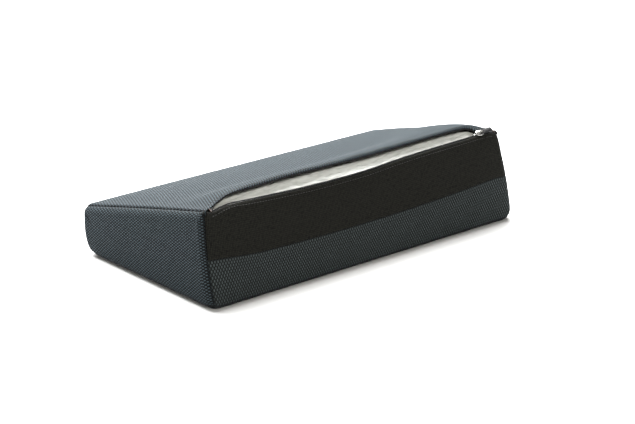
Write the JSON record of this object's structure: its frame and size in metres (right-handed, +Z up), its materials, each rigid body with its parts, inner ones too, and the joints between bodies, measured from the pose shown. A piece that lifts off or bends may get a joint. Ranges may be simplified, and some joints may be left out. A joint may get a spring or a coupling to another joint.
{
  "type": "wedge cushion rest",
  "caption": "Wedge-shaped foam wrist and arm rest in a zip-off woven cover, its zip drawn open along the tall rear edge to show the pale liner.",
  "frame": {"origin": "the middle of the bounding box's base, on the surface that the cushion lies on", "axes": "+X along the cushion towards the end where the zip is closed, +Z up; the tall face with the zip looks towards -Y and the thin front edge towards +Y"},
  "size_m": [0.3988, 0.2138, 0.0987],
  "materials": {
    "diamond_weave": "grey-blue woven diamond pattern with pale dots on a darker ground",
    "black_cloth": "fine matte black plain weave",
    "base_cloth": "dark matte base cloth",
    "zip_tape": "black woven zip tape",
    "zip_coil": "black nylon coil",
    "zip_metal": "nickel-plated zinc, slightly worn",
    "liner_cotton": "creased cream-white plain cloth",
    "foam": "open-cell polyurethane foam"
  },
  "bodies": {
    "cushion": {"top_panel": "diamond_weave", "front_panel": "diamond_weave", "left_end_panel": "diamond_weave", "right_end_panel": "diamond_weave", "rear_lower_band": "diamond_weave", "rear_upper_panel": "black_cloth", "bottom_panel": "base_cloth", "zip_upper_tape": "zip_tape", "zip_lower_tape": "zip_tape", "zip_upper_coil": "zip_coil", "zip_lower_coil": "zip_coil", "zip_bottom_stop": "zip_metal", "zip_upper_top_stop": "zip_metal", "zip_lower_top_stop": "zip_metal", "liner_wrap": "liner_cotton", "liner_left_end": "liner_cotton", "liner_right_end": "liner_cotton", "foam_core": "foam"},
    "slider": {"zip_slider_body": "zip_metal"},
    "pull_tab": {"zip_pull_tab": "zip_metal"}
  },
  "joints": [
    {"name": "zip_slide", "type": "slide", "parent": "cushion", "child": "slider", "axis": [-0.9999, 0, -0.0105], "range_m": [0, 0.336]},
    {"name": "pull_tab_swing", "type": "hinge", "parent": "slider", "child": "pull_tab", "pos_m": [0.167, -0.08629, 0.09672], "axis": [0, -0.8488, -0.5287], "range_deg": [0, 175]}
  ]
}
